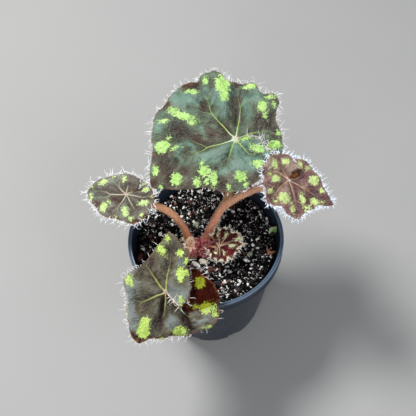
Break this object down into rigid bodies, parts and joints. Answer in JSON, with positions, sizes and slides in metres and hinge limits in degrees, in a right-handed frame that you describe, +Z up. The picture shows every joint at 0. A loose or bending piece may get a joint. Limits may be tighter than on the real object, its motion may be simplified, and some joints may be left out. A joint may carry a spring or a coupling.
{
  "type": "potted begonia",
  "caption": "Small eyelash begonia with dark blotched round leaves on hairy stalks, growing from a creeping stem in a thin round nursery pot.",
  "frame": {"origin": "centre of the pot's flat underside", "axes": "+Z up along the pot's axis; -Y is the side the plant is looked at from; +X to the right of that view"},
  "size_m": [0.1541, 0.1615, 0.1477],
  "materials": {
    "pot_plastic": "slate-blue moulded plastic, satin",
    "potting_mix": "black crumbly potting mix with white perlite",
    "rhizome": "dark red stem with papery stipules and white hairs",
    "stipule": "tan papery stipule with hairs",
    "petiole": "salmon to terracotta stalk with short pale hairs",
    "blade_bronze": "dark olive bronze leaf with lime blotches, pale veins and satin sheen",
    "blade_olive": "olive brown leaf with lime blotches and pale veins",
    "blade_red": "reddish brown leaf with round lime spots and salmon veins",
    "blade_young": "dark red young leaf with yellow-green tips",
    "pebble": "pale rough pebble",
    "bark": "red-brown bark",
    "green_grain": "pale green grain",
    "leaflet": "small green leaflet"
  },
  "bodies": {
    "root": {"pot": "pot_plastic", "soil": "potting_mix", "rhizome": "rhizome", "stipule_left": "stipule", "petiole_back": "petiole", "petiole_left": "petiole", "petiole_right": "petiole", "petiole_front": "petiole", "petiole_young": "petiole", "leaf_back": "blade_bronze", "leaf_left": "blade_olive", "leaf_right": "blade_red", "leaf_front": "blade_bronze", "leaf_young": "blade_young", "pebble_left": "pebble", "pebble_right": "pebble", "bark_chip_left": "bark", "bark_chip_front": "bark", "green_grain_right": "green_grain", "green_grain_back": "green_grain", "fallen_leaflet": "leaflet", "bark_curl": "bark"}
  },
  "joints": []
}
